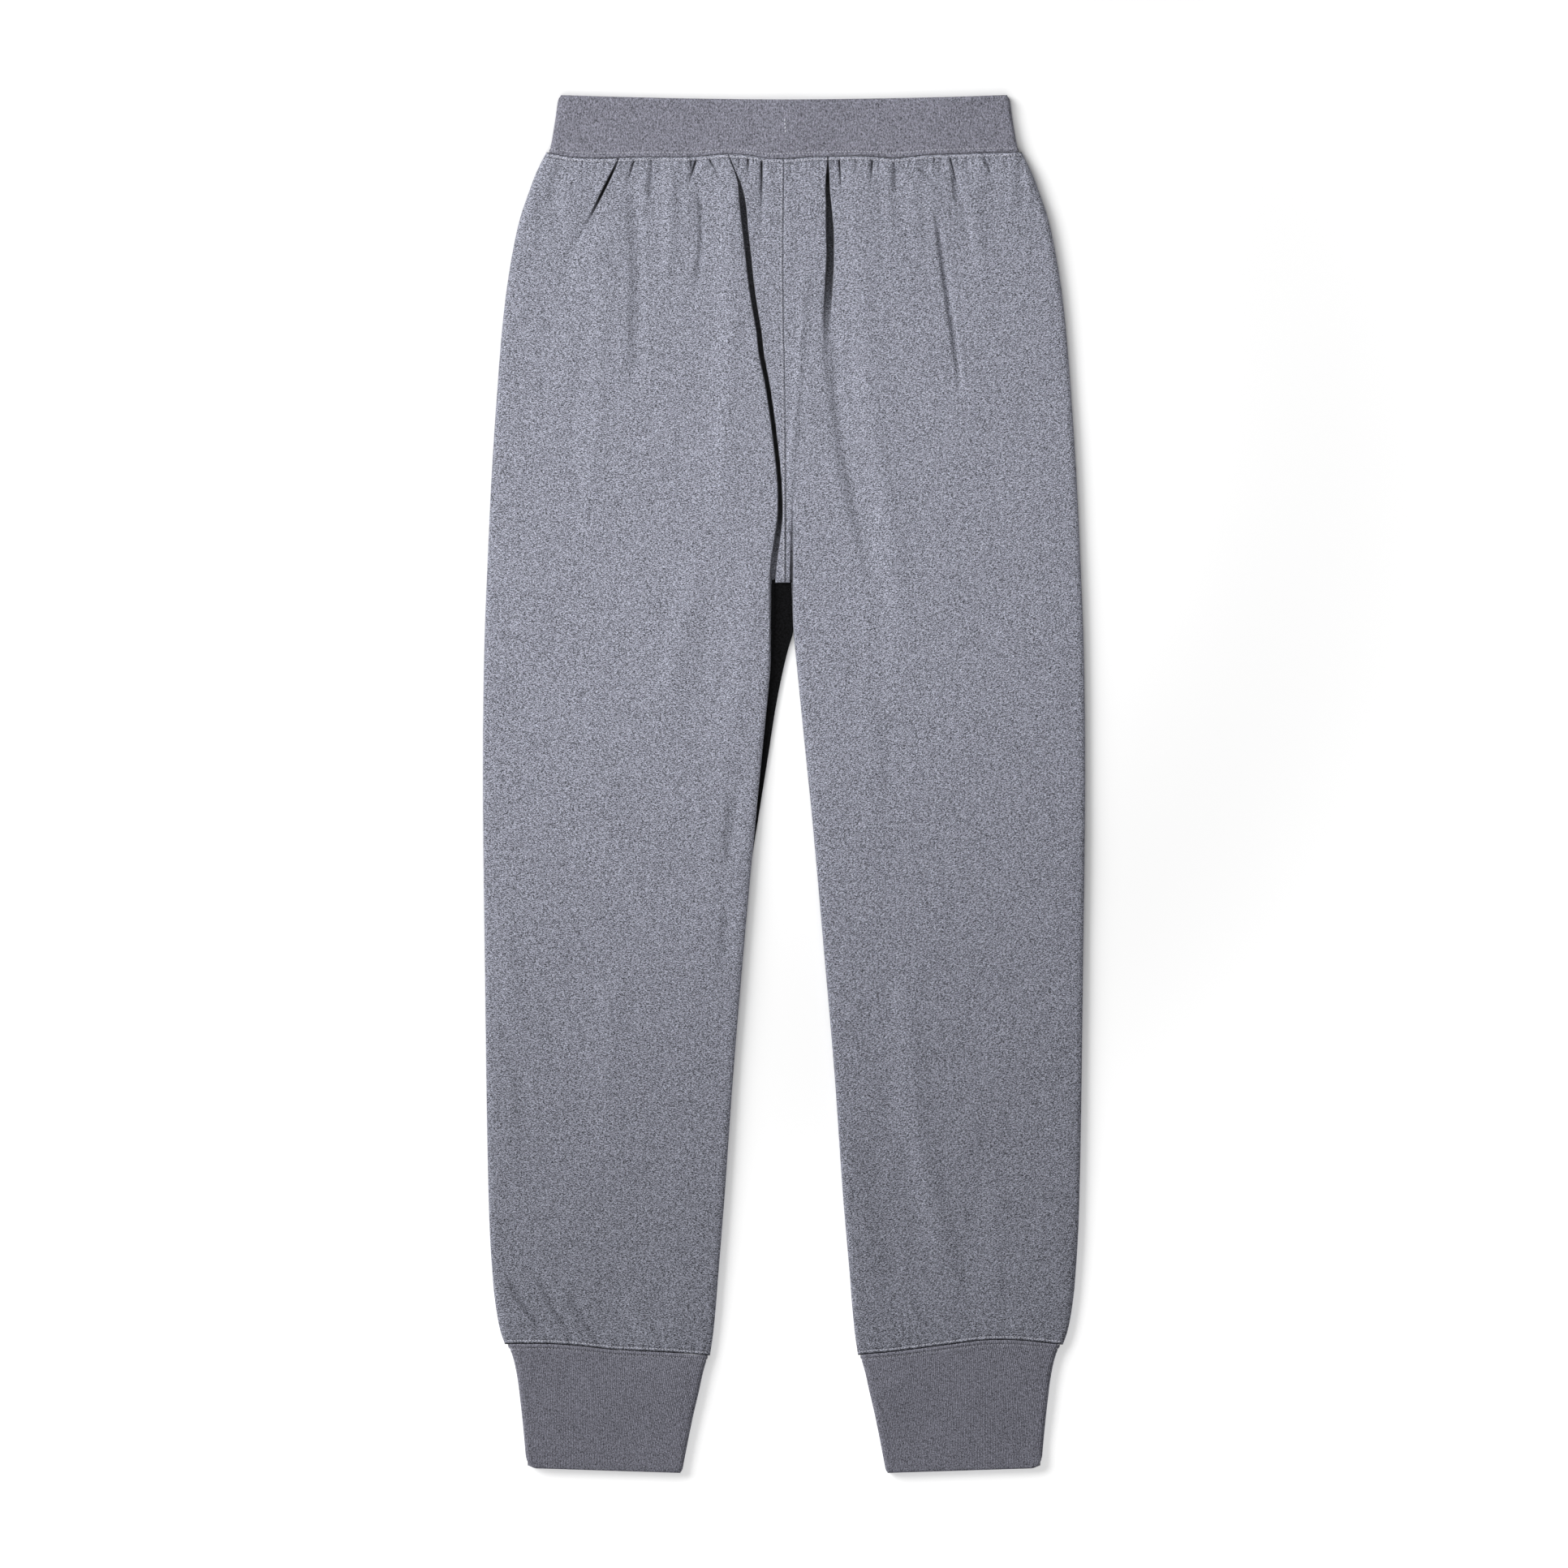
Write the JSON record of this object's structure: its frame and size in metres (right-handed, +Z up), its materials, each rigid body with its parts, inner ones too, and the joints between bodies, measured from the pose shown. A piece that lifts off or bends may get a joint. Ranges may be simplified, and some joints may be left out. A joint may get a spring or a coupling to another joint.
{
  "type": "jogger sweatpants",
  "caption": "Fleece joggers laid flat on their front, back side up, with a gathered seat, ribbed waistband and ribbed ankle cuffs.",
  "frame": {"origin": "bottom centre of the bounding box, on the surface that the garment lies on", "axes": "+Y from the cuffs to the waist, along the longest side; +X to the wearer's right, across the legs; +Z up from the surface, through the flat garment, back side up"},
  "size_m": [0.46, 1.0525, 0.01],
  "materials": {
    "fleece": "heather grey brushed fleece, matt",
    "rib": "heather grey rib knit, matt",
    "thread": "light grey sewing thread"
  },
  "bodies": {
    "root": {"back_left": "fleece", "back_right": "fleece", "front_left": "fleece", "front_right": "fleece", "waistband": "rib", "cuff_left": "rib", "cuff_right": "rib"}
  },
  "joints": []
}
